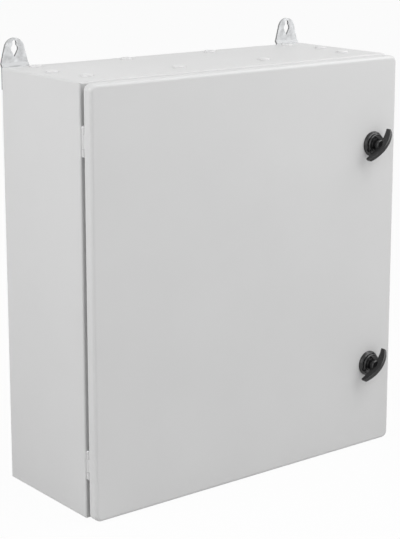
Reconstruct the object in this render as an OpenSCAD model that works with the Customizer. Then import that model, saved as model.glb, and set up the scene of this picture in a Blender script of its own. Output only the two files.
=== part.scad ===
// Wall-mounted electrical distribution cabinet: a folded sheet-steel body with a
// hinged pan door, two quarter-turn wing locks, wall lugs and an equipment plate.
// Front faces -Y, +Z is up, and the origin is the centre of the body's base.

/* [Cabinet] */
// Width of the body and of the door
cab_w = 550; // [450:10:800]
// Height of the body
cab_h = 600; // [500:10:1000]
// Depth of the body without its door
body_d = 195; // [165:5:300]
// Thickness of the sheet steel
sheet_t = 1.5; // [1.2:0.1:2]
// Outer radius of the body's folded edges
fold_r = 3; // [2.5:0.25:4]
// Width of the flange that folds in around the opening
rim_w = 16; // [15:0.5:20]
// Outer corner radius of the seal lip around the opening
lip_corner_r = 12; // [8:1:20]

/* [Door] */
// Free space between the body and the door
door_gap = 10; // [9.5:0.5:14]
// Depth of the door pan
door_t = 15; // [13:0.5:20]
// Corner radius of the door seen from the front
door_corner_r = 10; // [8:0.5:16]
// Radius of the fold along the door's front edges
door_edge_r = 5; // [3:0.5:6]
// Distance of the door's top and bottom from the body's
door_reveal = 1; // [0.5:0.25:3]
// Width of the foamed seal
seal_w = 12; // [8:0.5:14]
// Height of the foamed seal
seal_h = 7; // [5:0.5:9]

/* [Door rails] */
// Width of the perforated rails
rail_w = 25; // [20:1:30]
// Depth of the perforated rails
rail_d = 12; // [8:1:14]
// Distance of the rails' ends from the door's top and bottom
rail_inset = 62; // [50:1:100]
// Distance of the hinge-side rail from the door's edge
rail_hinge_edge = 62; // [48:1:90]
// Distance of the lock-side rail from the lock axis
rail_lock_gap = 40; // [36:1:60]
// Pitch of the rail's holes
rail_pitch = 25; // [20:1:40]
// Diameter of the rail's holes
rail_hole_d = 9; // [5:0.5:12]

/* [Hinges] */
// Distance of each hinge's middle from the top or the bottom
hinge_inset = 78; // [60:1:140]
// Length of a hinge
hinge_len = 40; // [36:1:60]
// Distance of the hinge axis from the cabinet's left side
hinge_in = 3.5; // [3.4:0.05:3.7]
// Distance of the hinge axis from the body's front
hinge_fwd = 4; // [3.9:0.05:4.1]
// Radius of the knuckles
knuckle_r = 3.2; // [2.9:0.05:3.3]
// Length of each fixed knuckle
knuckle_end = 10; // [8:0.5:12]
// Diameter of the hinge pin
pin_d = 3.4; // [3:0.1:4]
// Thickness of the hinge leaves
leaf_t = 2; // [1.8:0.1:2.2]
// Distance between the two screws of a hinge leaf
leaf_screw_gap = 24; // [16:1:28]
// Thread diameter of the hinge screws
leaf_screw_d = 4; // [3:0.5:4]

/* [Locks] */
// Distance of the lock axis from the door's right edge
lock_edge = 46; // [44:1:52]
// Distance of each lock from the top or the bottom
lock_inset = 130; // [110:1:180]
// Angle of the wing from horizontal when the lock is released
wing_angle = 45; // [0:5:90]
// Length of the wing
wing_len = 59; // [54:1:66]
// Thickness of the wing
wing_w = 6.5; // [5.5:0.5:8]
// Corner radius of the wing's ends
wing_end_r = 2; // [1.5:0.25:2.5]
// Radius of the wing's crest edges
wing_edge_r = 1.75; // [1.25:0.25:2.5]
// Height of the wing's crest above the door, at its middle
wing_top = 29; // [27:0.25:31]
// Height of the wing's crest above the door, at its tips
wing_tip_top = 16.5; // [15:0.25:19]
// Height of the wing's underside above the door, at its middle
wing_low = 16.25; // [15:0.25:17.5]
// Height of the wing's underside above the door, at its tips
wing_tip_low = 9.5; // [8:0.25:11]
// Diameter of the knob's hub
hub_d = 31; // [29:0.5:33]
// Height of the hub's rim above the door
hub_rim_h = 9; // [8.5:0.25:10]
// Diameter of the neck that carries the wing
neck_d = 17; // [16:0.5:19]
// Diameter of the lock's rosette
rosette_d = 38; // [34:0.5:42]
// Height of the rosette
rosette_h = 5; // [4:0.25:6]
// Diameter of the lock's barrel
barrel_d = 22; // [20:0.5:22]
// Diameter of the lock spindle
spindle_d = 10; // [9:0.5:11]
// Side of the spindle's square end
spindle_sq = 7; // [6:0.5:7]
// Length of the cam from the lock axis to its tip
cam_len = 42; // [38:0.5:44]
// Width of the cam
cam_w = 18; // [14:0.5:20]
// Thickness of the cam
cam_t = 3; // [2:0.25:4]

/* [Wall lugs] */
// Distance of a lug's middle from the cabinet's side
lug_edge = 24; // [23:0.5:40]
// Width of a lug's foot
lug_w = 44; // [36:1:46]
// Height of a lug above the body
lug_rise = 40; // [36:1:60]
// Length of a lug's foot behind the body
lug_foot = 31; // [26:1:40]
// Thickness of a lug
lug_t = 3; // [2.5:0.25:4]
// Offset of the lug's tab from its foot
lug_joggle = 3; // [3:0.25:5]
// Radius of a lug's rounded top
lug_top_r = 16; // [13:0.5:17]
// Distance of the keyhole's upper end from the lug's top
keyhole_top = 3.5; // [3:0.25:5]
// Distance of the keyhole's middle from the lug's top
keyhole_down = 15; // [13.5:0.25:17]
// Diameter of the keyhole
keyhole_d = 11.5; // [10.5:0.5:13]
// Width of the keyhole's neck
keyhole_neck = 6.5; // [5:0.5:8]
// Thread diameter of the lug bolts
lug_bolt_d = 8; // [6:1:8]

/* [Wall holes] */
// Distance of the lower wall holes from the cabinet's sides
wall_hole_edge = 25; // [20:1:30]
// Height of the lower wall holes
wall_hole_z = 20; // [16:1:22]
// Diameter of the lower wall holes
wall_hole_d = 9; // [7:0.5:10]

/* [Top plugs] */
// Distance of the outer plugs from the cabinet's sides
plug_edge = 44; // [36:1:60]
// Distance of the front plugs from the body's front
plug_front = 48; // [40:1:70]
// Distance of the rear plugs from the body's back
plug_back = 21; // [16:1:40]
// Distance of the side plugs from the cabinet's sides
plug_side_edge = 30; // [22:1:40]
// Diameter of a plug's head
plug_d = 18; // [15:0.5:22]
// Height of a plug's head
plug_h = 2.6; // [2.2:0.1:4]
// Radius of the plug head's round edge
plug_edge_r = 1.8; // [1:0.1:2]
// Diameter of a plug's hole
plug_hole_d = 12; // [9:0.5:13]

/* [Equipment plate] */
// Distance of the plate's edges from the cabinet's sides, top and bottom
plate_margin = 33; // [33:1:50]
// Thickness of the plate
plate_t = 2; // [1.5:0.25:3]
// Distance of the plate from the rear wall
plate_standoff = 15; // [12:1:30]
// Distance of the plate's studs from its edges
plate_stud_in = 20; // [16:1:40]
// Thread diameter of the plate's studs
plate_stud_d = 8; // [6:1:8]
// Corner radius of the plate
plate_corner_r = 6; // [3:1:12]

/* [Gland plate] */
// Distance of the cable opening from the cabinet's sides
gland_side = 85; // [80:1:120]
// Distance of the cable opening from the body's front and back
gland_inset = 52.5; // [48:0.5:60]
// Width of the border that carries the studs
gland_border = 20; // [16:1:22]
// Thickness of the gland plate
gland_t = 2; // [1.5:0.25:3]
// Thickness of the gland plate's seal
gland_seal_t = 3; // [2:0.25:4]
// Thread diameter of the gland studs
gland_stud_d = 5; // [4:0.5:6]

/* [Earthing] */
// Thread diameter of the earth studs
earth_d = 8; // [6:1:8]
// Distance of the body's earth stud from the cabinet's left side
earth_edge = 40; // [36:1:50]
// Distance of the body's earth stud from the body's front
earth_front = 40; // [36:1:60]
// Distance of the door's earth stud from the hinge-side rail
earth_rail_gap = 30; // [28:1:60]

/* [Fits] */
// Radial clearance of turning parts
run_clear = 0.05; // [0.03:0.01:0.09]
// Clearance of bolts and studs in their holes
hole_clear = 0.25; // [0.1:0.05:0.5]
// Gap between parts that pass each other
pass_clear = 0.5; // [0.4:0.05:0.8]
// Gap between the seal and the lip with the door closed
seal_clear = 0.3; // [0.2:0.05:0.5]

/* [Hidden] */
$fn = 64;
SIDES = [-1, 1];
overcut = 1;
edge_break = 1;

// Proportions of the fasteners to their thread diameter
nut_across = 2;
nut_h = 0.8;
flange_across = 2.2;
flange_nut_h = 0.7;
washer_across = 2;
spacer_across = 1.75;
thread_past = 0.25;
lug_head_across = 2.1;
lug_crown_across = 1.8;
hinge_head_across = 1.7;
hinge_crown_across = 1.4;
hinge_head_h = 0.55;
cam_head_h = 0.7;

cabinet_grey = "#d6d7d6";
zinc = "#c4c8cc";
lock_black = "#26272a";
seal_black = "#303030";

half_w = cab_w / 2;
back_y = body_d / 2;
front_y = -back_y;
wall_y = back_y - sheet_t;
door_back_y = front_y - door_gap;
door_front_y = door_back_y - door_t;
door_in_y = door_front_y + sheet_t;
door_h = cab_h - 2 * door_reveal;
mid_z = cab_h / 2;

lip_y = door_in_y + seal_h + seal_clear;
open_w = cab_w - 2 * rim_w;
open_h = cab_h - 2 * rim_w;
seal_out = (seal_w - sheet_t) / 2;

hinge_x = -half_w + hinge_in;
hinge_y = front_y - hinge_fwd;
hinge_z = [hinge_inset, cab_h - hinge_inset];
pin_r = pin_d / 2;
knuckle_chamfer = 0.7;
pin_head_h = 1.2;
leaf_end_x = -half_w + rim_w - sheet_t - pass_clear;
leaf_screw_x = (hinge_x + knuckle_r + pass_clear + leaf_end_x) / 2;
leaf_screw_grip = leaf_t + sheet_t;
door_leaf_x = -half_w + sheet_t;
door_leaf_front = door_front_y + door_edge_r + pass_clear;
door_leaf_back = hinge_y - knuckle_r - pass_clear;

lock_x = half_w - lock_edge;
lock_z = [lock_inset, cab_h - lock_inset];
hub_r = hub_d / 2;
rosette_r = rosette_d / 2;
barrel_r = barrel_d / 2;
spindle_r = spindle_d / 2;
cam_front_y = front_y + sheet_t + pass_clear;
cam_back_y = cam_front_y + cam_t;
barrel_end_y = cam_front_y - pass_clear;
hub_low = rosette_h + pass_clear;
hub_floor = hub_low + 2;
neck_r = neck_d / 2;
neck_top = wing_low + 2;
socket_cap = 4;
socket_h = wing_low - socket_cap;
wing_bow_r = bow_radius(wing_len, wing_top - wing_tip_top);
wing_under_r = bow_radius(wing_len, wing_low - wing_tip_low);
lock_seal_h = 1;
lock_seal_in = 4;
lock_seal_r = rosette_r - lock_seal_in;
lock_nut_h = 6;
lock_nut_wall = 4.5;
lock_nut_r = barrel_r + lock_nut_wall;
cam_screw_d = 5;
cam_screw_len = 12;

lug_x = half_w - lug_edge;
lug_foot_back = back_y + lug_t;
lug_back = lug_foot_back + lug_joggle;
lug_bolt_z = cab_h - lug_foot / 2;
lug_head_h = lug_joggle - pass_clear;
lug_crease_h = lug_joggle + 1;
lug_top_z = cab_h + lug_rise;
keyhole_z = lug_top_z - keyhole_down;
keyhole_slot_r = keyhole_neck / 2;
keyhole_slot_z = lug_top_z - keyhole_top - keyhole_slot_r;
keyhole_drop = keyhole_d;

plug_stem_h = 8;
plug_barb_h = 2;
plug_barb_w = 0.6;
plate_y = wall_y - plate_standoff;
plate_w = cab_w - 2 * plate_margin;
plate_h = cab_h - 2 * plate_margin;
plate_stud_x = plate_w / 2 - plate_stud_in;
plate_stud_z = plate_h / 2 - plate_stud_in;
washer_t = 1.6;

gland_w = cab_w - 2 * gland_side;
gland_d = body_d - 2 * gland_inset;
gland_plate_w = gland_w + 2 * gland_border;
gland_plate_d = gland_d + 2 * gland_border;
gland_stud_x = (gland_w + gland_border) / 2;
gland_stud_y = (gland_d + gland_border) / 2;
gland_top_z = sheet_t + gland_seal_t + gland_t;

earth_x = -half_w + earth_edge;
earth_y = front_y + earth_front;
earth_len = 20;
rail_hinge_x = -half_w + rail_hinge_edge;
rail_lock_x = lock_x - rail_lock_gap;
door_earth_x = rail_hinge_x + earth_rail_gap;
door_earth_z = rail_inset;

// Extrude an XZ outline along Y
module along_y(y0, y1) {
    translate([0, y1, 0])
        rotate([90, 0, 0])
            linear_extrude(y1 - y0)
                children();
}

// Extrude a YZ outline along X
module along_x(x0, x1) {
    translate([x0, 0, 0])
        rotate([90, 0, 90])
            linear_extrude(x1 - x0)
                children();
}

// Stand a +Z feature out towards the front from y0
module facing_front(x, y0, z) {
    translate([x, y0, z])
        rotate([90, 0, 0])
            children();
}

// Stand a +Z feature in towards the back from y0
module facing_back(x, y0, z) {
    translate([x, y0, z])
        rotate([-90, 0, 0])
            children();
}

// Rectangle with round corners, centred
module round_rect(w, h, r) {
    square([w - 2 * r, h], center = true);
    square([w, h - 2 * r], center = true);
    for (sx = SIDES, sy = SIDES)
        translate([sx * (w / 2 - r), sy * (h / 2 - r)])
            circle(r);
}

// Rectangle whose two lower corners are round, its top edge at y = 0
module round_bottom(w, h, r) {
    translate([-w / 2, -h + r])
        square([w, h - r]);
    translate([-w / 2 + r, -h])
        square([w - 2 * r, r]);
    for (s = SIDES)
        translate([s * (w / 2 - r), -h + r])
            circle(r);
}

// Box with round edges, centred
module round_box(w, d, h, r) {
    intersection() {
        translate([0, 0, -h / 2])
            linear_extrude(h)
                round_rect(w, d, r);
        along_y(-d / 2, d / 2)
            round_rect(w, h, r);
        along_x(-w / 2, w / 2)
            round_rect(d, h, r);
    }
}

// Slab with round corners whose front edges are folded round, its back at y = 0
module folded_slab(w, d, h, corner_r, edge_r) {
    translate([0, 0, -h / 2 + corner_r])
        linear_extrude(h - 2 * corner_r)
            round_bottom(w, d, edge_r);
    translate([-w / 2 + corner_r, 0, 0])
        rotate([90, 0, 90])
            linear_extrude(w - 2 * corner_r)
                slab_side(d, h, edge_r);
    for (sx = SIDES, sz = SIDES)
        facing_front(sx * (w / 2 - corner_r), 0, sz * (h / 2 - corner_r))
            rotate_extrude()
                corner_profile(corner_r, d, edge_r);
}

// Side outline of the folded slab
module slab_side(d, h, r) {
    translate([-d + r, -h / 2])
        square([d - r, h]);
    translate([-d, -h / 2 + r])
        square([r, h - 2 * r]);
    for (s = SIDES)
        translate([-d + r, s * (h / 2 - r)])
            circle(r);
}

// Half section of a round slab with one round edge
module corner_profile(corner_r, d, r) {
    square([corner_r, d - r]);
    square([corner_r - r, d]);
    translate([corner_r - r, d - r])
        intersection() {
            circle(r);
            square(r);
        }
}

module washer(d, outer_d, t) {
    difference() {
        cylinder(d = outer_d, h = t);
        translate([0, 0, -overcut])
            cylinder(d = d + 2 * hole_clear, h = t + 2 * overcut);
    }
}

module hex_nut(d, h) {
    difference() {
        cylinder(d = nut_across * d, h = h, $fn = 6);
        translate([0, 0, -overcut])
            cylinder(d = d + 2 * run_clear, h = h + 2 * overcut);
    }
}

// Threaded stud with a chamfered tip
module stud(d, len) {
    tip = d / 8;
    cylinder(d = d, h = len - tip);
    translate([0, 0, len - tip])
        cylinder(d1 = d, d2 = d - 2 * tip, h = tip);
}

// Radius of an arc by its chord and its rise
function bow_radius(chord, rise) = (pow(chord / 2, 2) + pow(rise, 2)) / (2 * rise);

// Positions of the plugs on the top panel, as [x, y]
function plug_spots() = let (
        x0 = half_w - plug_edge,
        yf = front_y + plug_front,
        yb = back_y - plug_back,
        xs = half_w - plug_side_edge
    ) concat(
        [for (i = [0:3], y = [yf, yb]) [-x0 + 2 * x0 * i / 3, y]],
        [for (s = SIDES) [s * xs, (yf + yb) / 2]]
    );

// Positions of the studs around the cable opening, as [x, y]
function gland_spots() = [for (sx = [-1, 0, 1], sy = SIDES) [sx * gland_stud_x, sy * gland_stud_y]];

// Positions of the equipment plate's studs, as [x, z]
function plate_spots() = [for (sx = SIDES, sz = SIDES) [sx * plate_stud_x, mid_z + sz * plate_stud_z]];

// Positions of the hinge screws, as [x, z]
function leaf_screw_spots() = [for (z = hinge_z, s = SIDES) [leaf_screw_x, z + s * leaf_screw_gap / 2]];

// Folded and welded body with its rim, seal lip and holes
module body_shell() {
    color(cabinet_grey)
        difference() {
            union() {
                difference() {
                    translate([0, 0, mid_z])
                        round_box(cab_w, body_d, cab_h, fold_r);
                    translate([0, 0, mid_z])
                        round_box(
                            cab_w - 2 * sheet_t,
                            body_d - 2 * sheet_t,
                            cab_h - 2 * sheet_t,
                            fold_r - sheet_t
                        );
                }
                translate([0, 0, mid_z])
                    along_y(lip_y, front_y + sheet_t)
                        round_rect(open_w + 2 * sheet_t, open_h + 2 * sheet_t, lip_corner_r);
            }
            translate([0, 0, mid_z])
                along_y(lip_y - overcut, front_y + 2 * sheet_t)
                    round_rect(open_w, open_h, lip_corner_r - sheet_t);
            for (p = plug_spots())
                translate([p.x, p.y, cab_h - 2 * sheet_t])
                    cylinder(d = plug_hole_d, h = 3 * sheet_t);
            translate([0, 0, -sheet_t])
                linear_extrude(3 * sheet_t)
                    round_rect(gland_w, gland_d, plate_corner_r);
            for (s = SIDES) {
                facing_back(s * (half_w - wall_hole_edge), wall_y - sheet_t, wall_hole_z)
                    cylinder(d = wall_hole_d, h = 3 * sheet_t);
                facing_back(s * lug_x, wall_y - sheet_t, lug_bolt_z)
                    cylinder(d = lug_bolt_d + 2 * hole_clear, h = 3 * sheet_t);
            }
            for (p = leaf_screw_spots())
                facing_back(p.x, front_y - sheet_t, p.y)
                    cylinder(d = leaf_screw_d + 2 * hole_clear, h = 3 * sheet_t);
        }
}

// Round-edged blanking plugs in the top panel
module top_plugs() {
    stem_r = plug_hole_d / 2 - run_clear;
    barb_r = plug_hole_d / 2 + plug_barb_w;
    color(cabinet_grey)
        for (p = plug_spots())
            translate([p.x, p.y, cab_h])
                rotate_extrude() {
                    corner_profile(plug_d / 2, plug_h, plug_edge_r);
                    translate([0, -plug_stem_h])
                        square([stem_r, plug_stem_h]);
                    translate([0, -plug_stem_h])
                        polygon([
                            [0, 0],
                            [stem_r - edge_break, 0],
                            [barb_r, plug_barb_h],
                            [barb_r, plug_barb_h + edge_break],
                            [0, plug_barb_h + edge_break]
                        ]);
                }
}

// Outline of a wall lug, with its keyhole, middle at x = 0
module lug_outline() {
    foot_z = cab_h - lug_foot;
    shoulder_z = cab_h + lug_crease_h;
    top_c = lug_top_z - lug_top_r;
    lean = atan((lug_w / 2 - lug_top_r) / (top_c - shoulder_z));
    tangent = [lug_top_r * cos(lean), top_c + lug_top_r * sin(lean)];
    difference() {
        union() {
            translate([-lug_w / 2, foot_z])
                square([lug_w, shoulder_z - foot_z]);
            polygon([
                [-lug_w / 2, shoulder_z - 0.01],
                [lug_w / 2, shoulder_z - 0.01],
                tangent,
                [-tangent.x, tangent.y]
            ]);
            translate([0, top_c])
                circle(lug_top_r);
        }
        translate([0, keyhole_z])
            circle(d = keyhole_d);
        translate([-keyhole_slot_r, keyhole_z])
            square([keyhole_neck, keyhole_slot_z - keyhole_z]);
        translate([0, keyhole_slot_z])
            circle(keyhole_slot_r);
        keyhole_tail();
    }
}

// Tapering lower end of the keyhole, tangent to its round part
module keyhole_tail() {
    r = keyhole_d / 2;
    a = asin(r / keyhole_drop);
    polygon([
        [r * cos(a), keyhole_z - r * sin(a)],
        [0, keyhole_z - keyhole_drop],
        [-r * cos(a), keyhole_z - r * sin(a)]
    ]);
}

// Side section of a wall lug: foot on the body, joggle, tab on the wall
module lug_section() {
    foot_z = cab_h - lug_foot;
    polygon([
        [back_y, foot_z],
        [lug_foot_back, foot_z],
        [lug_foot_back, cab_h],
        [lug_back, cab_h + lug_crease_h],
        [lug_back, lug_top_z + overcut],
        [lug_back - lug_t, lug_top_z + overcut],
        [lug_back - lug_t, cab_h + lug_crease_h + lug_t / 2],
        [back_y, cab_h + lug_t / 2]
    ]);
}

module wall_lug(side) {
    color(zinc)
        translate([side * lug_x, 0, 0])
            difference() {
                intersection() {
                    along_x(-lug_w / 2, lug_w / 2)
                        lug_section();
                    along_y(back_y, lug_back)
                        lug_outline();
                }
                facing_back(0, back_y - overcut, lug_bolt_z)
                    cylinder(d = lug_bolt_d + 2 * hole_clear, h = lug_t + 2 * overcut);
            }
}

module wall_lug_left() { wall_lug(-1); }
module wall_lug_right() { wall_lug(1); }

// Low-headed bolts that hold the lugs, put in from the wall side
module lug_bolts() {
    reach = lug_t + sheet_t + washer_t + nut_h * lug_bolt_d;
    color(zinc)
        for (s = SIDES)
            facing_front(s * lug_x, lug_foot_back, lug_bolt_z) {
                stud(lug_bolt_d, reach + thread_past * lug_bolt_d);
                translate([0, 0, -lug_head_h])
                    cylinder(
                        d1 = lug_crown_across * lug_bolt_d,
                        d2 = lug_head_across * lug_bolt_d,
                        h = lug_head_h
                    );
            }
}

module lug_washers() {
    color(zinc)
        for (s = SIDES)
            facing_front(s * lug_x, wall_y, lug_bolt_z)
                washer(lug_bolt_d, washer_across * lug_bolt_d, washer_t);
}

module lug_nuts() {
    color(zinc)
        for (s = SIDES)
            facing_front(s * lug_x, wall_y - washer_t, lug_bolt_z)
                hex_nut(lug_bolt_d, nut_h * lug_bolt_d);
}

// Galvanised plate that carries the equipment
module mounting_plate() {
    color(zinc)
        difference() {
            translate([0, 0, mid_z])
                along_y(plate_y - plate_t, plate_y)
                    round_rect(plate_w, plate_h, plate_corner_r);
            for (p = plate_spots())
                facing_front(p.x, plate_y + overcut, p.y)
                    cylinder(d = plate_stud_d + 2 * hole_clear, h = plate_t + 2 * overcut);
        }
}

module plate_studs() {
    reach = plate_standoff + plate_t + washer_t + nut_h * plate_stud_d;
    color(zinc)
        for (p = plate_spots())
            facing_front(p.x, wall_y, p.y)
                stud(plate_stud_d, reach + thread_past * plate_stud_d);
}

module plate_spacers() {
    color(zinc)
        for (p = plate_spots())
            facing_front(p.x, wall_y, p.y)
                washer(plate_stud_d, spacer_across * plate_stud_d, plate_standoff);
}

module plate_washers() {
    color(zinc)
        for (p = plate_spots())
            facing_front(p.x, plate_y - plate_t, p.y)
                washer(plate_stud_d, washer_across * plate_stud_d, washer_t);
}

module plate_nuts() {
    color(zinc)
        for (p = plate_spots())
            facing_front(p.x, plate_y - plate_t - washer_t, p.y)
                hex_nut(plate_stud_d, nut_h * plate_stud_d);
}

// Blank plate over the cable opening, fitted from inside
module gland_plate() {
    color(zinc)
        difference() {
            translate([0, 0, sheet_t + gland_seal_t])
                linear_extrude(gland_t)
                    round_rect(gland_plate_w, gland_plate_d, plate_corner_r);
            for (p = gland_spots())
                translate([p.x, p.y, 0])
                    cylinder(d = gland_stud_d + 2 * hole_clear, h = 2 * gland_top_z);
        }
}

module gland_seal() {
    color(seal_black)
        translate([0, 0, sheet_t])
            linear_extrude(gland_seal_t)
                difference() {
                    round_rect(gland_plate_w, gland_plate_d, plate_corner_r);
                    round_rect(gland_w, gland_d, plate_corner_r);
                    for (p = gland_spots())
                        translate(p)
                            circle(d = gland_stud_d + 2 * hole_clear);
                }
}

module gland_studs() {
    color(zinc)
        for (p = gland_spots())
            translate([p.x, p.y, sheet_t])
                stud(gland_stud_d, gland_top_z - sheet_t + (nut_h + thread_past) * gland_stud_d);
}

module gland_nuts() {
    color(zinc)
        for (p = gland_spots())
            translate([p.x, p.y, gland_top_z])
                hex_nut(gland_stud_d, nut_h * gland_stud_d);
}

// Nut of an earth stud, with a flange to grip the lead's eyelet
module flange_nut(d) {
    difference() {
        union() {
            cylinder(d = flange_across * d, h = washer_t);
            cylinder(d = nut_across * d, h = washer_t + flange_nut_h * d, $fn = 6);
        }
        translate([0, 0, -overcut])
            cylinder(d = d + 2 * run_clear, h = washer_t + d + 2 * overcut);
    }
}

module body_earth_stud() {
    color(zinc)
        translate([earth_x, earth_y, sheet_t])
            stud(earth_d, earth_len);
}

module body_earth_nut() {
    color(zinc)
        translate([earth_x, earth_y, sheet_t])
            flange_nut(earth_d);
}

// Row of end or middle knuckles on the hinge axis
module knuckle(z0, z1, low_chamfer, high_chamfer) {
    translate([hinge_x, hinge_y, 0])
        rotate_extrude()
            polygon([
                [0, z0],
                [knuckle_r - low_chamfer, z0],
                [knuckle_r, z0 + low_chamfer],
                [knuckle_r, z1 - high_chamfer],
                [knuckle_r - high_chamfer, z1],
                [0, z1]
            ]);
}

// Fixed hinge leaf, screwed flat on the body's rim
module hinge_body_leaf(z) {
    z0 = z - hinge_len / 2;
    z1 = z + hinge_len / 2;
    color(cabinet_grey)
        difference() {
            union() {
                translate([hinge_x, front_y - leaf_t, z0])
                    cube([leaf_end_x - hinge_x, leaf_t, hinge_len]);
                knuckle(z0, z0 + knuckle_end, knuckle_chamfer, 0);
                knuckle(z1 - knuckle_end, z1, 0, knuckle_chamfer);
            }
            translate([hinge_x, hinge_y, z0 - overcut])
                cylinder(r = pin_r + run_clear, h = hinge_len + 2 * overcut);
            translate([hinge_x, hinge_y, z0 + knuckle_end])
                cylinder(r = knuckle_r + pass_clear, h = hinge_len - 2 * knuckle_end);
            for (s = SIDES)
                facing_front(leaf_screw_x, front_y + overcut, z + s * leaf_screw_gap / 2)
                    cylinder(d = leaf_screw_d + 2 * hole_clear, h = leaf_t + 2 * overcut);
        }
}

module hinge_body_leaf_lower() { hinge_body_leaf(hinge_z[0]); }
module hinge_body_leaf_upper() { hinge_body_leaf(hinge_z[1]); }

// Moving hinge leaf, welded inside the door's left flange
module hinge_door_leaf(z) {
    z0 = z - hinge_len / 2;
    tongue = hinge_len / 2 - knuckle_end - pass_clear;
    color(cabinet_grey)
        difference() {
            union() {
                translate([door_leaf_x, door_leaf_front, z0])
                    cube([leaf_t, door_leaf_back - door_leaf_front, hinge_len]);
                translate([door_leaf_x, door_leaf_back - overcut, z - tongue])
                    cube([leaf_t, hinge_y - door_leaf_back + overcut, 2 * tongue]);
                knuckle(z - tongue, z + tongue, 0, 0);
            }
            translate([hinge_x, hinge_y, z0])
                cylinder(r = pin_r + run_clear, h = hinge_len);
        }
}

module hinge_door_leaf_lower() { hinge_door_leaf(hinge_z[0]); }
module hinge_door_leaf_upper() { hinge_door_leaf(hinge_z[1]); }

// Riveted hinge pin
module hinge_pin(z) {
    color(zinc)
        translate([hinge_x, hinge_y, z - hinge_len / 2 - pin_head_h]) {
            cylinder(r1 = pin_r, r2 = knuckle_r - knuckle_chamfer, h = pin_head_h);
            cylinder(r = pin_r, h = hinge_len + 2 * pin_head_h);
            translate([0, 0, hinge_len + pin_head_h])
                cylinder(r1 = knuckle_r - knuckle_chamfer, r2 = pin_r, h = pin_head_h);
        }
}

module hinge_pin_lower() { hinge_pin(hinge_z[0]); }
module hinge_pin_upper() { hinge_pin(hinge_z[1]); }

module hinge_screws() {
    head_h = hinge_head_h * leaf_screw_d;
    reach = leaf_screw_grip + nut_h * leaf_screw_d;
    color(zinc)
        for (p = leaf_screw_spots())
            facing_back(p.x, front_y - leaf_t, p.y) {
                stud(leaf_screw_d, reach + thread_past * leaf_screw_d);
                translate([0, 0, -head_h])
                    cylinder(
                        d1 = hinge_crown_across * leaf_screw_d,
                        d2 = hinge_head_across * leaf_screw_d,
                        h = head_h
                    );
            }
}

module hinge_nuts() {
    color(zinc)
        for (p = leaf_screw_spots())
            facing_back(p.x, front_y + sheet_t, p.y)
                hex_nut(leaf_screw_d, nut_h * leaf_screw_d);
}

// Folded pan of the door
module door_panel() {
    color(cabinet_grey)
        difference() {
            translate([0, door_back_y, mid_z])
                folded_slab(cab_w, door_t, door_h, door_corner_r, door_edge_r);
            translate([0, door_back_y, mid_z])
                folded_slab(
                    cab_w - 2 * sheet_t,
                    door_t - sheet_t,
                    door_h - 2 * sheet_t,
                    door_corner_r - sheet_t,
                    door_edge_r - sheet_t
                );
            for (z = lock_z)
                facing_back(lock_x, door_front_y - overcut, z)
                    cylinder(r = barrel_r + hole_clear, h = sheet_t + 2 * overcut);
        }
}

// Foamed seal that meets the lip of the body
module door_seal() {
    color(seal_black)
        translate([0, 0, mid_z])
            along_y(door_in_y, door_in_y + seal_h)
                difference() {
                    round_rect(
                        open_w + 2 * (sheet_t + seal_out),
                        open_h + 2 * (sheet_t + seal_out),
                        lip_corner_r + seal_out
                    );
                    round_rect(
                        open_w + 2 * (sheet_t + seal_out - seal_w),
                        open_h + 2 * (sheet_t + seal_out - seal_w),
                        lip_corner_r - sheet_t
                    );
                }
}

// Perforated channel welded on the inside of the door
module door_rail(x) {
    len = door_h - 2 * rail_inset;
    count = floor(len / rail_pitch);
    color(cabinet_grey)
        difference() {
            translate([x - rail_w / 2, door_in_y, mid_z - len / 2])
                cube([rail_w, rail_d, len]);
            translate([x - rail_w / 2 + sheet_t, door_in_y - overcut, mid_z - len / 2 - overcut])
                cube([rail_w - 2 * sheet_t, rail_d + overcut - sheet_t, len + 2 * overcut]);
            for (i = [0:count - 1])
                facing_back(x, door_in_y, mid_z + (i - (count - 1) / 2) * rail_pitch)
                    cylinder(d = rail_hole_d, h = rail_d + overcut);
        }
}

module hinge_side_rail() { door_rail(rail_hinge_x); }
module lock_side_rail() { door_rail(rail_lock_x); }

module door_earth_stud() {
    color(zinc)
        facing_back(door_earth_x, door_in_y, door_earth_z)
            stud(earth_d, earth_len);
}

module door_earth_nut() {
    color(zinc)
        facing_back(door_earth_x, door_in_y, door_earth_z)
            flange_nut(earth_d);
}

// Fixed rosette and barrel of a lock
module lock_housing(z) {
    barrel_back = barrel_end_y - door_front_y;
    rim = rosette_r / 12;
    color(lock_black)
        facing_front(lock_x, door_front_y, z)
            rotate_extrude()
                polygon([
                    [spindle_r + run_clear, -barrel_back],
                    [barrel_r - edge_break, -barrel_back],
                    [barrel_r, -barrel_back + edge_break],
                    [barrel_r, lock_seal_h],
                    [lock_seal_r, lock_seal_h],
                    [lock_seal_r, 0],
                    [rosette_r, 0],
                    [rosette_r, rosette_h / 3],
                    [rosette_r - rim, rosette_h - rim / 2],
                    [rosette_r - 2 * rim, rosette_h],
                    [rosette_r - 3 * rim, rosette_h - rim / 2],
                    [rosette_r - 3.5 * rim, rosette_h - rim],
                    [spindle_r + run_clear, rosette_h - rim]
                ]);
}

module lock_housing_lower() { lock_housing(lock_z[0]); }
module lock_housing_upper() { lock_housing(lock_z[1]); }

// Flat rings that seal the rosettes against the door
module lock_seals() {
    color(seal_black)
        for (z = lock_z)
            facing_front(lock_x, door_front_y, z)
                difference() {
                    cylinder(r = lock_seal_r - run_clear, h = lock_seal_h);
                    translate([0, 0, -overcut])
                        cylinder(r = barrel_r + run_clear, h = lock_seal_h + 2 * overcut);
                }
}

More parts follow.
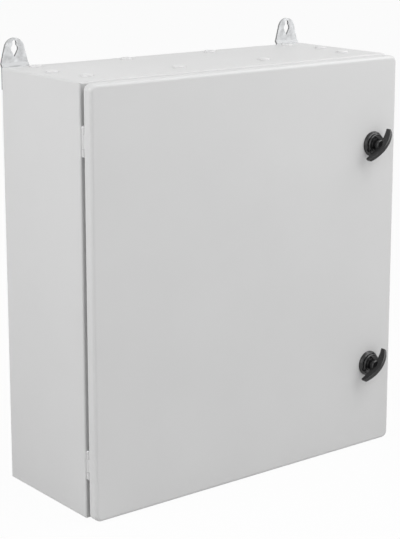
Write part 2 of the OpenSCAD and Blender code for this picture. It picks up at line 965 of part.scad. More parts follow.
// Hexagon nuts that clamp the locks from inside
module lock_nuts() {
    color(zinc)
        for (z = lock_z)
            facing_back(lock_x, door_in_y, z)
                difference() {
                    cylinder(r = lock_nut_r, h = lock_nut_h, $fn = 6);
                    translate([0, 0, -overcut])
                        cylinder(r = barrel_r + run_clear, h = lock_nut_h + 2 * overcut);
                }
}

// Bar of the wing along X: its crest and its underside are bowed towards the tips
module wing_bar() {
    intersection() {
        translate([0, 0, wing_top - wing_bow_r])
            rotate([90, 0, 0])
                rotate_extrude($fn = 160)
                    rotate(90)
                        round_bottom(wing_w, wing_bow_r, wing_edge_r);
        linear_extrude(2 * wing_top)
            round_rect(wing_len, wing_w, wing_end_r);
        difference() {
            translate([-wing_len, -wing_w, 0])
                cube([2 * wing_len, 2 * wing_w, 2 * wing_top]);
            translate([0, wing_w + overcut, wing_low - wing_under_r])
                rotate([90, 0, 0])
                    cylinder(r = wing_under_r, h = 2 * (wing_w + overcut), $fn = 160);
        }
    }
}

// Turned hub of the knob: a cupped flange with a neck in its middle
module knob_hub() {
    rotate_extrude()
        polygon([
            [0, hub_low],
            [hub_r - edge_break, hub_low],
            [hub_r, hub_low + edge_break],
            [hub_r, hub_rim_h - edge_break],
            [hub_r - edge_break, hub_rim_h],
            [hub_r - 2 * edge_break, hub_rim_h],
            [neck_r + 1.5 * edge_break, hub_floor],
            [neck_r + edge_break / 2, hub_floor],
            [neck_r, hub_floor + edge_break],
            [neck_r - edge_break / 2, neck_top - edge_break],
            [neck_r - 1.5 * edge_break, neck_top],
            [0, neck_top]
        ]);
}

// Moulded wing knob, its axis along Z, the door's face at z = 0
module wing_body() {
    difference() {
        union() {
            wing_bar();
            knob_hub();
        }
        translate([0, 0, hub_low - overcut])
            cylinder(r = spindle_r + run_clear, h = socket_h - hub_low + overcut);
    }
}

module wing_knob(z) {
    color(lock_black)
        facing_front(lock_x, door_front_y, z)
            rotate(wing_angle)
                wing_body();
}

module wing_knob_lower() { wing_knob(lock_z[0]); }
module wing_knob_upper() { wing_knob(lock_z[1]); }

// Round spindle with a square end for the cam
module lock_spindle(z) {
    round_len = socket_h + cam_front_y - door_front_y;
    color(zinc)
        facing_back(lock_x, door_front_y - socket_h, z)
            difference() {
                union() {
                    cylinder(r = spindle_r, h = round_len);
                    translate([-spindle_sq / 2, -spindle_sq / 2, round_len])
                        cube([spindle_sq, spindle_sq, cam_t]);
                }
                translate([0, 0, round_len + cam_t - cam_screw_len])
                    cylinder(d = cam_screw_d + 2 * run_clear, h = cam_screw_len + overcut);
            }
}

module lock_spindle_lower() { lock_spindle(lock_z[0]); }
module lock_spindle_upper() { lock_spindle(lock_z[1]); }

// Latch tongue that turns behind the body's rim
module lock_cam(z) {
    tip_r = cam_w / 3;
    color(zinc)
        translate([lock_x, 0, z])
            along_y(cam_front_y, cam_back_y)
                difference() {
                    union() {
                        circle(d = cam_w);
                        translate([-cam_w / 2, 0])
                            square([cam_w, cam_len - tip_r]);
                        translate([-cam_w / 2 + tip_r, 0])
                            square([cam_w - 2 * tip_r, cam_len]);
                        for (s = SIDES)
                            translate([s * (cam_w / 2 - tip_r), cam_len - tip_r])
                                circle(tip_r);
                    }
                    square(spindle_sq + 2 * run_clear, center = true);
                }
}

module lock_cam_lower() { lock_cam(lock_z[0]); }
module lock_cam_upper() { lock_cam(lock_z[1]); }

module cam_screw(z) {
    head_r = 0.75 * spindle_sq + edge_break;
    color(zinc)
        facing_front(lock_x, cam_back_y, z) {
            stud(cam_screw_d, cam_screw_len - edge_break);
            translate([0, 0, -cam_head_h * cam_screw_d])
                cylinder(r1 = head_r - edge_break, r2 = head_r, h = cam_head_h * cam_screw_d);
        }
}

module cam_screw_lower() { cam_screw(lock_z[0]); }
module cam_screw_upper() { cam_screw(lock_z[1]); }

body_shell();
top_plugs();
wall_lug_left();
wall_lug_right();
lug_bolts();
lug_washers();
lug_nuts();
mounting_plate();
plate_studs();
plate_spacers();
plate_washers();
plate_nuts();
gland_plate();
gland_seal();
gland_studs();
gland_nuts();
body_earth_stud();
body_earth_nut();
hinge_body_leaf_upper();
hinge_body_leaf_lower();
hinge_pin_upper();
hinge_pin_lower();
hinge_screws();
hinge_nuts();
door_panel();
door_seal();
hinge_side_rail();
lock_side_rail();
hinge_door_leaf_upper();
hinge_door_leaf_lower();
door_earth_stud();
door_earth_nut();
lock_housing_upper();
lock_housing_lower();
lock_seals();
lock_nuts();
wing_knob_upper();
lock_spindle_upper();
lock_cam_upper();
cam_screw_upper();
wing_knob_lower();
lock_spindle_lower();
lock_cam_lower();
cam_screw_lower();
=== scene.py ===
"""Dresses the packed electrical distribution cabinet.

It adds paint, plated hardware, seals, threads and the studio around the CAD frame.
"""

import math
from collections import namedtuple

import bmesh
import bpy
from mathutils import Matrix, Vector


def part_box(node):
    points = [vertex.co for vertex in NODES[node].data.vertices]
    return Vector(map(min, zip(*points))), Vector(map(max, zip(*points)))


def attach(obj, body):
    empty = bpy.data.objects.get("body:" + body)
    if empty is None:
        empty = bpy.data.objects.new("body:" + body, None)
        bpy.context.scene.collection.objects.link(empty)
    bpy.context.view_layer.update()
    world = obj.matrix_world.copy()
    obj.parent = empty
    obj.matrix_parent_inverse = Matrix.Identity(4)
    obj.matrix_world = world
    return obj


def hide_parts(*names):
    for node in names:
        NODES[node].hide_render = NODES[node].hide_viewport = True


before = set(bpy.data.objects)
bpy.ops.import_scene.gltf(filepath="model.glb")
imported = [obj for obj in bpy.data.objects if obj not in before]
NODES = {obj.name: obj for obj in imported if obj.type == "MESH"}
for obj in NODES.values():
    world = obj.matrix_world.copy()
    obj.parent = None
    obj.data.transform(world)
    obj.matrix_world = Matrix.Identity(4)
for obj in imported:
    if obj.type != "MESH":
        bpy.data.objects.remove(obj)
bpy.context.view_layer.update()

bl_info = {
    "name": "Distribution cabinet finish",
    "version": (1, 0, 0),
    "blender": (4, 5, 0),
    "location": "3D View > Sidebar > Cabinet",
    "description": "Finishes a wall-mounted distribution cabinet around its CAD frame",
    "category": "Object",
}

MM = 0.001

PAINTED_NODES = (
    "body_shell", "door_panel", "hinge_side_rail", "lock_side_rail",
    "hinge_body_leaf_upper", "hinge_body_leaf_lower", "hinge_door_leaf_upper", "hinge_door_leaf_lower",
)
LUG_NODES = ("wall_lug_left", "wall_lug_right")
PLATED_NODES = (
    "lug_washers", "plate_spacers", "plate_washers",
    "hinge_pin_upper", "hinge_pin_lower",
    "lock_spindle_upper", "lock_spindle_lower", "lock_cam_upper", "lock_cam_lower",
)
GALVANISED_NODES = ("mounting_plate", "gland_plate")
PLASTIC_NODES = ("lock_housing_upper", "lock_housing_lower", "wing_knob_upper", "wing_knob_lower")

# Half section of the foamed bead, as shares of its width and height from its outer foot to its groove
BEAD_SECTION = ((0.0, 0.0), (0.03, 0.26), (0.085, 0.52), (0.185, 0.76), (0.32, 0.93), (0.43, 1.0))
BEAD_GROOVE = 0.465

# Turns that stand a model made along Z up, out to the front or in to the back
WAYS = {"up": (0, 0, 0), "front": (math.pi / 2, 0, 0), "back": (-math.pi / 2, 0, 0)}

# Range that most values of a noise texture fall in
NOISE_REACH = (0.3, 0.7)

# How far a lug's surface faces sideways on its sheared edges, and up along its bend, where its colour takes
# painted shade
SIDEWAYS_SHADE_REACH = (0.6, 0.9)
UPWARD_SHADE_REACH = (0.1, 0.5)

# Sizes that follow the CAD frame, in millimetres
BEAD_CORNER = 17.25
STRIP_CORNER = 6
GLAND_HOLE_R = 2.75
GLAND_HOLE_REACH = (-1, 4)
STUD_D = 8
GLAND_STUD_D = 5
HINGE_SCREW_D = 4
CAM_SCREW_D = 5
CAM_HEAD_H = 3.5
CAM_CROWN_STEP = 1
CAM_SOCKET_R = 2.3

NutSize = namedtuple("NutSize", "corner_r bore_r flange_r flange_h", defaults=(0.0, 0.0))
STUD_NUT = NutSize(corner_r=8, bore_r=4.05)
GLAND_NUT = NutSize(corner_r=5, bore_r=2.55)
HINGE_NUT = NutSize(corner_r=4, bore_r=2.05)
LOCK_NUT = NutSize(corner_r=15.5, bore_r=11.05)
EARTH_NUT = NutSize(corner_r=8, bore_r=4.05, flange_r=8.8, flange_h=1.6)

ScrewHead = namedtuple("ScrewHead", "radius crown_r height socket_r")
LUG_HEAD = ScrewHead(radius=8.4, crown_r=7.2, height=2.5, socket_r=2.9)
HINGE_HEAD = ScrewHead(radius=3.4, crown_r=2.8, height=2.2, socket_r=1.45)

# Nearness at which points meet or lie on a plane, in millimetres
TOUCH = 0.001

# Depth, crest and spare length of a thread as shares of its pitch, turns past each end, and steps in a turn
THREAD_DEPTH = 0.6
THREAD_CREST = 0.15
THREAD_SPARE = 0.4
SPARE_TURNS = 2
THREAD_STEPS = 20

# How much larger than the thread the blank is that trims it, as a share of its radius
BLANK_SPARE = 0.03

# Shares of a nut's sizes: spare of the blank that trims it, slope of its chamfer, depth and flare of its
# countersink, rounding of its flange, and how far the cutter for its bore reaches past it
NUT_SPARE = 0.002
CHAMFER_SLOPE = 0.6
COUNTERSINK_DEPTH = 0.06
COUNTERSINK_FLARE = 1.16
FLANGE_ROUNDING = 0.3
CUT_PAST = 0.1

# How far a face of a blank looks along Z, and how far out its rim starts as a share of its radius
END_FACE = 0.9
RIM_START = 0.95

# Shares of a screw head's height: rounding of its crown, and ends of the cutter for its socket
CROWN_ROUNDING = 0.15
SOCKET_REACH = (-1.5, -0.4)

# How far a screw's head reaches into its thread, as a share of the pitch
HEAD_OVERLAP = 0.3

# Rounding of a sponge strip's edges as a share of its height, and segments of a seal's corner
STRIP_ROUNDING = 0.25
CORNER_SEGMENTS = 8

# Swelling of the bead, in millimetres: the shortest run that swells, the foot that stays, and the waves' size
SWELL_RUN = 100
SWELL_FOOT = 0.5
SWELL_SIZE = 16.0
SWELL_CUTS = 48

SMOOTH_ANGLE = math.radians(35)

# Each lamp's place, aim and size in metres, and the setting that holds its power
LAMPS = (
    ("key_lamp", (1.0, -1.2, 1.75), (0.1, -0.1, 0.6), 2.2, "key_power"),
    ("side_lamp", (-1.95, 0.35, 1.55), (-0.2, 0, 0.4), 1.0, "side_power"),
    ("fill_lamp", (-1.6, -1.4, 1.0), (-0.2, -0.1, 0.35), 1.6, "fill_power"),
)
FLOOR_RADIUS = 14
FLOOR_WHITENESS = 0.96
SENSOR_WIDTH = 36


class CabinetPaint(bpy.types.PropertyGroup):
    """Powder coat of the sheet steel."""

    colour: bpy.props.FloatVectorProperty(
        name="Colour", description="Colour of the powder coat", subtype="COLOR", size=3,
        min=0, max=1, default=(0.645, 0.645, 0.645),
    )
    roughness: bpy.props.FloatProperty(
        name="Roughness", description="Mean roughness of the powder coat", subtype="FACTOR",
        min=0, max=1, default=0.44,
    )
    peel_size: bpy.props.FloatProperty(
        name="Peel size", description="Size of the coat's fine orange peel", unit="LENGTH",
        default=1.6 * MM,
    )


class CabinetHardware(bpy.types.PropertyGroup):
    """Plated steel, galvanised sheet and the plastic of the locks."""

    zinc: bpy.props.FloatVectorProperty(
        name="Zinc", description="Colour of the zinc plating", subtype="COLOR", size=3,
        min=0, max=1, default=(0.43, 0.435, 0.44),
    )
    galvanised: bpy.props.FloatVectorProperty(
        name="Galvanised", description="Colour of the galvanised sheet", subtype="COLOR", size=3,
        min=0, max=1, default=(0.56, 0.58, 0.60),
    )
    lock_black: bpy.props.FloatVectorProperty(
        name="Lock black", description="Colour of the moulded lock", subtype="COLOR", size=3,
        min=0, max=1, default=(0.007, 0.007, 0.0075),
    )


class CabinetSeals(bpy.types.PropertyGroup):
    """Foamed and sponge seals."""

    colour: bpy.props.FloatVectorProperty(
        name="Colour", description="Colour of the foam", subtype="COLOR", size=3,
        min=0, max=1, default=(0.035, 0.036, 0.038),
    )
    bead_width: bpy.props.FloatProperty(
        name="Bead width", description="Width of the foamed bead on the door", unit="LENGTH", default=12 * MM,
    )
    bead_height: bpy.props.FloatProperty(
        name="Bead height", description="Height of the foamed bead on the door", unit="LENGTH",
        default=6.8 * MM,
    )
    groove_depth: bpy.props.FloatProperty(
        name="Lip mark", description="Depth of the mark that the body's lip leaves in the bead",
        unit="LENGTH", default=0.5 * MM,
    )
    skin_swell: bpy.props.FloatProperty(
        name="Skin swell", description="How far the bead's skin swells and sinks along its run",
        unit="LENGTH", default=0.3 * MM,
    )
    gland_width: bpy.props.FloatProperty(
        name="Gland seal width", description="Width of the sponge strip under the gland plate", unit="LENGTH",
        default=20 * MM,
    )
    rosette_width: bpy.props.FloatProperty(
        name="Rosette seal width", description="Width of the ring under a lock's rosette", unit="LENGTH",
        default=3.9 * MM,
    )


class CabinetFasteners(bpy.types.PropertyGroup):
    """Threads, nuts and screw heads."""

    stud_pitch: bpy.props.FloatProperty(
        name="Stud pitch", description="Thread pitch of the plate, lug and earth studs", unit="LENGTH",
        default=1.25 * MM,
    )
    gland_pitch: bpy.props.FloatProperty(
        name="Gland stud pitch", description="Thread pitch of the gland studs and cam screws", unit="LENGTH",
        default=0.8 * MM,
    )
    hinge_pitch: bpy.props.FloatProperty(
        name="Hinge screw pitch", description="Thread pitch of the hinge screws", unit="LENGTH",
        default=0.7 * MM,
    )
    hinge_gap: bpy.props.FloatProperty(
        name="Hinge screw gap", description="Distance between the two screws of a hinge", unit="LENGTH",
        default=24 * MM,
    )
    nut_chamfer: bpy.props.FloatProperty(
        name="Nut chamfer", description="Width of a nut's chamfer as a share of its half width over corners",
        subtype="FACTOR", min=0, max=0.3, default=0.17,
    )


class CabinetStage(bpy.types.PropertyGroup):
    """Camera, lamps and floor."""

    camera_place: bpy.props.FloatVectorProperty(
        name="Camera place", description="Where the camera stands", subtype="XYZ", unit="LENGTH", size=3,
        default=(-1.3817, -1.7691, 0.8587),
    )
    camera_azimuth: bpy.props.FloatProperty(
        name="Camera azimuth", description="How far the camera looks to the right of straight back",
        unit="ROTATION", default=math.radians(37.957),
    )
    camera_pitch: bpy.props.FloatProperty(
        name="Camera pitch", description="How far the camera looks down", unit="ROTATION",
        default=math.radians(11.678),
    )
    camera_lens: bpy.props.FloatProperty(
        name="Lens", description="Focal length on a 36 mm sensor, in millimetres", default=104.19,
    )
    camera_shift: bpy.props.FloatProperty(
        name="Lens shift", description="Vertical shift of the lens", default=-0.13,
    )
    ambient: bpy.props.FloatProperty(
        name="Ambient", description="Strength of the even light from all round", default=0.22,
    )
    key_power: bpy.props.FloatProperty(
        name="Key lamp", description="Power of the lamp in front", unit="POWER", default=43.0,
    )
    side_power: bpy.props.FloatProperty(
        name="Side lamp", description="Power of the lamp on the left", unit="POWER", default=26.0,
    )
    fill_power: bpy.props.FloatProperty(
        name="Fill lamp", description="Power of the lamp beside the camera", unit="POWER", default=9.0,
    )
    floor_colour: bpy.props.FloatVectorProperty(
        name="Floor", description="Colour of the floor", subtype="COLOR", size=3,
        min=0, max=1, default=(0.6, 0.6, 0.6),
    )


def new_node(tree, kind, place, **values):
    """Add a shader node, set its named inputs and put it at a place in the editor."""
    node = tree.nodes.new(kind)
    node.location = place
    for key, value in values.items():
        node.inputs[key.replace("_", " ")].default_value = value
    return node


def new_group(name, inputs, outputs):
    """An empty shader node group with float inputs (name, default) and float outputs."""
    tree = bpy.data.node_groups.new(name, "ShaderNodeTree")
    for label, default in inputs:
        socket = tree.interface.new_socket(label, in_out="INPUT", socket_type="NodeSocketFloat")
        socket.default_value = default
    for label in outputs:
        tree.interface.new_socket(label, in_out="OUTPUT", socket_type="NodeSocketFloat")
    start = tree.nodes.new("NodeGroupInput")
    start.location = (-900, 0)
    end = tree.nodes.new("NodeGroupOutput")
    end.location = (700, 0)
    return tree, start, end


def grain_group():
    """Fine grain and broad patches over a surface, by its place on the object."""
    name = "Grain and patches"
    if name in bpy.data.node_groups:
        return bpy.data.node_groups[name]
    tree, start, end = new_group(
        name, [("Grain scale", 600.0), ("Grain detail", 2.0), ("Patch scale", 9.0)], ["Grain", "Patches"]
    )
    place = new_node(tree, "ShaderNodeTexCoord", (-900, 250))
    grain = new_node(tree, "ShaderNodeTexNoise", (-500, 200), Roughness=0.55)
    patches = new_node(tree, "ShaderNodeTexNoise", (-500, -200), Detail=3.0, Roughness=0.5)
    link = tree.links.new
    link(place.outputs["Object"], grain.inputs["Vector"])
    link(place.outputs["Object"], patches.inputs["Vector"])
    link(start.outputs["Grain scale"], grain.inputs["Scale"])
    link(start.outputs["Grain detail"], grain.inputs["Detail"])
    link(start.outputs["Patch scale"], patches.inputs["Scale"])
    link(grain.outputs["Fac"], end.inputs["Grain"])
    link(patches.outputs["Fac"], end.inputs["Patches"])
    return tree


def new_material(name):
    """A material with one Principled shader, ready for its pattern."""
    material = bpy.data.materials.new(name)
    material.use_nodes = True
    tree = material.node_tree
    tree.nodes.clear()
    shader = new_node(tree, "ShaderNodeBsdfPrincipled", (300, 0))
    output = new_node(tree, "ShaderNodeOutputMaterial", (620, 0))
    tree.links.new(shader.outputs["BSDF"], output.inputs["Surface"])
    return material, tree, shader


def add_grain(tree, grain_scale, grain_detail, patch_scale):
    """Place the grain group in a material with its own values."""
    group = new_node(tree, "ShaderNodeGroup", (-900, 0))
    group.node_tree = grain_group()
    group.inputs["Grain scale"].default_value = grain_scale
    group.inputs["Grain detail"].default_value = grain_detail
    group.inputs["Patch scale"].default_value = patch_scale
    return group


def spread(tree, socket, low, high, place, reach=NOISE_REACH):
    """Map a value that lies in a reach to another range."""
    ramp = new_node(tree, "ShaderNodeMapRange", place)
    ramp.inputs["From Min"].default_value = reach[0]
    ramp.inputs["From Max"].default_value = reach[1]
    ramp.inputs["To Min"].default_value = low
    ramp.inputs["To Max"].default_value = high
    tree.links.new(socket, ramp.inputs["Value"])
    return ramp.outputs["Result"]


def tint(tree, factor, dark, light, place):
    """Mix two colours by a factor socket."""
    mix = tree.nodes.new("ShaderNodeMix")
    mix.data_type = "RGBA"
    mix.location = place
    mix.inputs["A"].default_value = (*dark, 1)
    mix.inputs["B"].default_value = (*light, 1)
    tree.links.new(factor, mix.inputs["Factor"])
    return mix.outputs["Result"]


def scaled(colour, factor):
    """A colour made darker or lighter."""
    return tuple(min(1.0, channel * factor) for channel in colour)


def bump(tree, shader, height, strength, distance):
    """Feed a height socket into the shader's normal."""
    node = new_node(tree, "ShaderNodeBump", (0, -300), Strength=strength, Distance=distance)
    tree.links.new(height, node.inputs["Height"])
    tree.links.new(node.outputs["Normal"], shader.inputs["Normal"])


def grained_finish(name, colour, shades, scales, roughness, relief, **sockets):
    """A finish whose colour drifts in patches and whose gloss and relief follow a fine grain."""
    material, tree, shader = new_material(name)
    grain = add_grain(tree, *scales)
    dark, light = (scaled(colour, share) for share in shades)
    drift = spread(tree, grain.outputs["Patches"], 0.0, 1.0, (-500, 200))
    tree.links.new(tint(tree, drift, dark, light, (-200, 250)), shader.inputs["Base Color"])
    gloss = spread(tree, grain.outputs["Grain"], *roughness, (-500, -50))
    tree.links.new(gloss, shader.inputs["Roughness"])
    for key, value in sockets.items():
        shader.inputs[key].default_value = value
    bump(tree, shader, grain.outputs["Grain"], *relief)
    return material


def paint_material(settings):
    """Light grey powder coat with fine orange peel."""
    rough = settings.roughness
    return grained_finish(
        "powder_coat", settings.colour, shades=(0.985, 1.015), scales=(1.0 / settings.peel_size, 2.0, 7.0),
        roughness=(rough - 0.05, rough + 0.05), relief=(0.12, 0.25 * MM), IOR=1.5,
    )


def zinc_material(settings):
    """Blue-passivated zinc plating with a fine rolled grain."""
    return grained_finish(
        "zinc_plating", settings.zinc, shades=(0.9, 1.08), scales=(900.0, 4.0, 45.0),
        roughness=(0.38, 0.54), relief=(0.08, 0.1 * MM), Metallic=1.0,
    )


def lug_material(settings):
    """Rolled zinc sheet with painted shade in its colour, darker where it faces up along its bend and where
    it faces sideways on its sheared edges.
    """
    material, tree, shader = new_material("lug_plating")
    grain = add_grain(tree, grain_scale=900.0, grain_detail=4.0, patch_scale=110.0)
    place = new_node(tree, "ShaderNodeTexCoord", (-1100, 450))
    facing = new_node(tree, "ShaderNodeSeparateXYZ", (-900, 450))
    sideways = new_node(tree, "ShaderNodeMath", (-700, 450))
    sideways.operation = "ABSOLUTE"
    link = tree.links.new
    link(place.outputs["Normal"], facing.inputs["Vector"])
    link(facing.outputs["X"], sideways.inputs[0])
    # Painted shade: faces that look sideways, such as the sheared edges, get a darker colour
    painted_side_shade = spread(tree, sideways.outputs["Value"], 0.0, 1.0, (-500, 450), SIDEWAYS_SHADE_REACH)
    painted_top_shade = spread(tree, facing.outputs["Z"], 0.0, 1.0, (-500, 650), UPWARD_SHADE_REACH)
    shade = spread(tree, grain.outputs["Patches"], 0.0, 1.0, (-500, 200))
    rolled = tint(tree, shade, scaled(settings.zinc, 0.98), scaled(settings.zinc, 1.42), (-250, 250))
    # Painted shade: faces that look up along the bend get a darker colour, which dulls their sheen
    top_shaded_colour = tint(tree, painted_top_shade, settings.zinc, scaled(settings.zinc, 0.92), (-120, 300))
    colour = tint(tree, painted_side_shade, settings.zinc, scaled(settings.zinc, 0.5), (0, 300))
    link(rolled, top_shaded_colour.node.inputs["A"])
    link(top_shaded_colour, colour.node.inputs["A"])
    link(colour, shader.inputs["Base Color"])
    gloss = spread(tree, grain.outputs["Grain"], low=0.6, high=0.72, place=(-500, -50))
    link(gloss, shader.inputs["Roughness"])
    shader.inputs["Metallic"].default_value = 1.0
    bump(tree, shader, grain.outputs["Grain"], strength=0.08, distance=0.1 * MM)
    return material


def galvanised_material(settings):
    """Hot-dip galvanised sheet with its spangle."""
    material, tree, shader = new_material("galvanised_spangle")
    place = new_node(tree, "ShaderNodeTexCoord", (-1100, 300))
    cells = new_node(tree, "ShaderNodeTexVoronoi", (-900, 300), Scale=95.0)
    tree.links.new(place.outputs["Object"], cells.inputs["Vector"])
    tone = new_node(tree, "ShaderNodeSeparateColor", (-700, 300))
    tree.links.new(cells.outputs["Color"], tone.inputs["Color"])
    dark, light = (scaled(settings.galvanised, share) for share in (0.9, 1.08))
    tree.links.new(tint(tree, tone.outputs["Red"], dark, light, (-300, 300)), shader.inputs["Base Color"])
    gloss = spread(tree, tone.outputs["Green"], low=0.3, high=0.5, place=(-300, 0), reach=(0.0, 1.0))
    tree.links.new(gloss, shader.inputs["Roughness"])
    shader.inputs["Metallic"].default_value = 1.0
    grain = add_grain(tree, grain_scale=700.0, grain_detail=3.0, patch_scale=20.0)
    bump(tree, shader, grain.outputs["Grain"], strength=0.08, distance=0.1 * MM)
    return material


def plastic_material(settings):
    """Black moulded plastic with a fine spark-eroded grain."""
    return grained_finish(
        "black_plastic", settings.lock_black, shades=(0.8, 1.3), scales=(2200.0, 2.0, 120.0),
        roughness=(0.17, 0.25), relief=(0.1, 0.06 * MM), IOR=1.5,
    )


def foam_material(settings):
    """Dark foam with open pores."""
    material, tree, shader = new_material("sealing_foam")
    grain = add_grain(tree, grain_scale=1300.0, grain_detail=5.0, patch_scale=60.0)
    shade = spread(tree, grain.outputs["Grain"], 0.0, 1.0, (-500, 200))
    colour = tint(tree, shade, scaled(settings.colour, 0.55), scaled(settings.colour, 1.35), (-200, 250))
    tree.links.new(colour, shader.inputs["Base Color"])
    gloss = spread(tree, grain.outputs["Patches"], low=0.78, high=0.95, place=(-500, -50))
    tree.links.new(gloss, shader.inputs["Roughness"])
    bump(tree, shader, grain.outputs["Grain"], strength=0.5, distance=0.5 * MM)
    return material


def plug_material(settings):
    """Smooth moulded plastic of the blanking plugs, in the colour of the coat."""
    return grained_finish(
        "plug_plastic", settings.colour, shades=(0.98, 1.04), scales=(900.0, 2.0, 160.0),
        roughness=(0.28, 0.36), relief=(0.05, 0.05 * MM), IOR=1.5,
    )


def finish(name, maker, settings):
    """A finish by its name, made the first time that it is asked for."""
    return bpy.data.materials.get(name) or maker(settings)


def fastener_plating(context):
    """The zinc plating that all fasteners share."""
    return finish("zinc_plating", zinc_material, context.scene.cabinet_hardware)


def dress(names, material):
    """Give CAD nodes a material."""
    for name in names:
        mesh = NODES[name].data
        mesh.materials.clear()
        mesh.materials.append(material)


def only(piece):
    """Select one object alone and make it the active one."""
    bpy.ops.object.select_all(action="DESELECT")
    piece.select_set(True)
    bpy.context.view_layer.objects.active = piece


def settle(piece):
    """Put an object's place, turn and scale into its mesh."""
    only(piece)
    bpy.ops.object.transform_apply(location=True, rotation=True, scale=True)


def open_mesh(piece):
    """Open one mesh for editing, with nothing selected."""
    only(piece)
    bpy.ops.object.mode_set(mode="EDIT")
    bpy.ops.mesh.select_mode(type="FACE")
    bpy.ops.mesh.select_all(action="DESELECT")


def close_mesh():
    """Leave the mesh that is open for editing."""
    bpy.ops.object.mode_set(mode="OBJECT")


def pick(kind, test):
    """Select the faces, edges or vertices of the open mesh that pass a test, and no others."""
    bpy.ops.mesh.select_mode(type=kind)
    bpy.ops.mesh.select_all(action="DESELECT")
    mesh = bmesh.from_edit_mesh(bpy.context.object.data)
    items = {"FACE": mesh.faces, "EDGE": mesh.edges, "VERT": mesh.verts}[kind]
    for item in items:
        if test(item):
            item.select_set(True)
    mesh.select_flush_mode()
    bmesh.update_edit_mesh(bpy.context.object.data)


def modify(piece, kind, **values):
    """Add a modifier with its values and apply it."""
    only(piece)
    bpy.ops.object.modifier_add(type=kind)
    modifier = piece.modifiers[-1]
    for key, value in values.items():
        setattr(modifier, key, value)
    bpy.ops.object.modifier_apply(modifier=modifier.name)


def combine(piece, tool, operation):
    """Cut, join or trim a piece with another, which is used up."""
    modify(piece, "BOOLEAN", operation=operation, object=tool, solver="EXACT")
    bpy.data.objects.remove(tool)


def span(node):
    """Lowest and highest corner of a CAD node, in millimetres."""
    low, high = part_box(node)
    return Vector(low) / MM, Vector(high) / MM


def length_along(node, way):
    """Length of a CAD node along the way that it points, in millimetres."""
    low, high = span(node)
    return high.z - low.z if way == "up" else high.y - low.y


def between(low, high, margin, count):
    """Even places from one end to the other, a margin in from each."""
    step = (high - low - 2 * margin) / (count - 1)
    return [low + margin + step * index for index in range(count)]


def stud_places(node):
    """Where the feet of a node's studs stand, in millimetres."""
    low, high = span(node)
    if node == "plate_studs":
        columns = between(low.x, high.x, STUD_D / 2, 2)
        rows = between(low.z, high.z, STUD_D / 2, 2)
        return [(x, high.y, z) for x in columns for z in rows]
    if node == "gland_studs":
        columns = between(low.x, high.x, GLAND_STUD_D / 2, 3)
        rows = between(low.y, high.y, GLAND_STUD_D / 2, 2)
        return [(x, y, low.z) for x in columns for y in rows]
    if node == "door_earth_stud":
        return [((low.x + high.x) / 2, low.y, (low.z + high.z) / 2)]
    return [((low.x + high.x) / 2, (low.y + high.y) / 2, low.z)]


def hinge_screw_places(low, high, gap, y):
    """Where the two screws of each hinge sit, in millimetres."""
    x = (low.x + high.x) / 2
    first = low.z + HINGE_HEAD.radius
    last = high.z - HINGE_HEAD.radius
    return [(x, y, z) for z in (first, first + gap, last - gap, last)]


def round_bar(radius, low, high, sides=48, turn=0.0, centre=(0, 0)):
    """A closed cylinder or prism along Z, as a start for turned parts and cutters."""
    bpy.ops.object.select_all(action="DESELECT")
    bpy.ops.mesh.primitive_cylinder_add(
        vertices=sides, radius=radius, depth=high - low,
        location=(*centre, (low + high) / 2), rotation=(0, 0, turn),
    )
    piece = bpy.context.object
    settle(piece)
    return piece


def threaded_rod(diameter, pitch, length):
    """A threaded rod along Z whose far end is chamfered, in millimetres."""
    depth = THREAD_DEPTH * pitch
    spare = THREAD_SPARE * pitch
    outer = diameter / 2
    root = outer - depth / 2
    first = -SPARE_TURNS * pitch
    bpy.ops.object.select_all(action="DESELECT")
    bpy.ops.mesh.primitive_plane_add(size=1, location=(root, 0, first), rotation=(math.pi / 2, 0, 0))
    rod = bpy.context.object
    rod.scale = (depth, pitch, 1)
    settle(rod)
    open_mesh(rod)
    pick("EDGE", lambda edge: all(vert.co.x < root for vert in edge.verts))
    bpy.ops.mesh.delete(type="EDGE")
    pick("VERT", lambda vert: vert.co.x > root)
    bpy.ops.transform.resize(value=(1, 1, THREAD_CREST), center_override=(outer, 0, first))
    close_mesh()
    modify(
        rod, "SCREW", axis="Z", angle=2 * math.pi, screw_offset=pitch,
        iterations=math.ceil(length / pitch) + 2 * SPARE_TURNS, steps=THREAD_STEPS, render_steps=THREAD_STEPS,
        use_merge_vertices=True, merge_threshold=TOUCH,
    )
    open_mesh(rod)
    bpy.ops.mesh.select_all(action="SELECT")
    bpy.ops.mesh.remove_doubles(threshold=TOUCH)
    for height, side in ((-spare, "clear_inner"), (length + spare, "clear_outer")):
        bpy.ops.mesh.select_all(action="SELECT")
        bpy.ops.mesh.bisect(plane_co=(0, 0, height), plane_no=(0, 0, 1), use_fill=True, **{side: True})
    bpy.ops.mesh.select_all(action="SELECT")
    bpy.ops.mesh.normals_make_consistent(inside=False)
    close_mesh()
    blank = round_bar((1 + BLANK_SPARE) * outer, 0, length, sides=32)
    open_mesh(blank)
    pick("EDGE", lambda edge: all(vert.co.z > length - TOUCH for vert in edge.verts))
    bpy.ops.mesh.bevel(offset=depth + BLANK_SPARE * outer, segments=1, affect="EDGES")
    close_mesh()
    combine(rod, blank, "INTERSECT")
    return rod


def on_rim(place, radius):
    """Whether a point lies on the rim of a disc."""
    return place.xy.length > RIM_START * radius


def chamfered_blank(radius, height, chamfer):
    """A turned disc with both rims chamfered at a flat angle."""
    blank = round_bar(radius, 0, height)
    open_mesh(blank)
    pick("FACE", lambda face: abs(face.normal.z) > END_FACE)
    bpy.ops.mesh.inset(thickness=chamfer * radius, use_individual=True)
    for low_rim in (True, False):
        pick("VERT", lambda vert: on_rim(vert.co, radius) and (vert.co.z < height / 2) == low_rim)
        drop = CHAMFER_SLOPE * chamfer * radius
        bpy.ops.transform.translate(value=(0, 0, drop if low_rim else -drop))
    close_mesh()
    return blank


